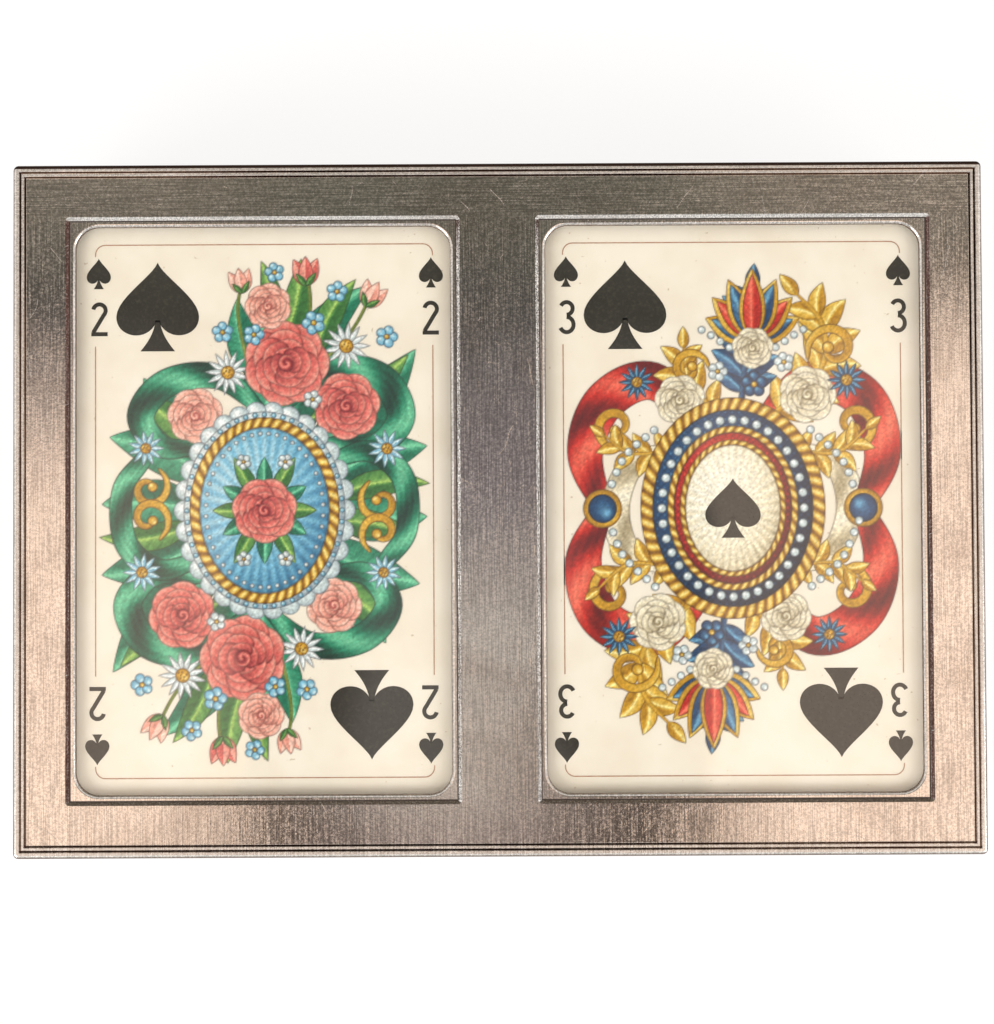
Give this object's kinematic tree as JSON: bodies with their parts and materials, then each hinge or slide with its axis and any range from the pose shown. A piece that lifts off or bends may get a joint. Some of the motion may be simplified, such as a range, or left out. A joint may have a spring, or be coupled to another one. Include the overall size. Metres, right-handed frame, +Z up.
{
  "type": "playing card box",
  "caption": "Hinged silver box that holds packs of playing cards side by side, with a wood-lined inside and a lid that shows framed cards under glass.",
  "frame": {"origin": "middle of the closed box in plan, on the surface it stands on", "axes": "+Z up, +X along the long side to the viewer's right with the hinge at the back, +Y towards the hinge"},
  "size_m": [0.148, 0.1058, 0.036],
  "materials": {
    "silver": "satin silver with fine scratches",
    "window_glass": "clear, polished",
    "card_paper": "smooth cream card, printed",
    "grey_board": "matt grey board",
    "lining_wood": "satin mahogany",
    "brass_screw": "polished",
    "baize": "green baize",
    "floor_felt": "green felt",
    "hinge_steel": "drawn wire"
  },
  "bodies": {
    "base": {"base_side_band": "silver", "base_board": "lining_wood", "foot_pad": "baize", "lining_front": "lining_wood", "lining_back": "lining_wood", "lining_left": "lining_wood", "lining_right": "lining_wood", "well_divider": "lining_wood", "well_floor_left": "floor_felt", "well_floor_right": "floor_felt", "base_hinge_knuckles": "silver", "hinge_pin": "hinge_steel"},
    "lid": {"lid_top_plate": "silver", "lid_side_band": "silver", "window_bezel_left": "silver", "window_bezel_right": "silver", "window_glass_left": "window_glass", "window_glass_right": "window_glass", "display_card_left": "card_paper", "display_card_right": "card_paper", "card_pad_left": "grey_board", "card_pad_right": "grey_board", "lid_core_frame": "lining_wood", "lid_inner_panel": "lining_wood", "lid_panel_screws": "brass_screw", "lid_hinge_knuckles": "silver"}
  },
  "joints": [
    {"name": "lid_hinge", "type": "hinge", "parent": "base", "child": "lid", "pos_m": [0, 0.05045, 0.02707], "axis": [-1, 0, 0], "range_deg": [0, 100]}
  ]
}
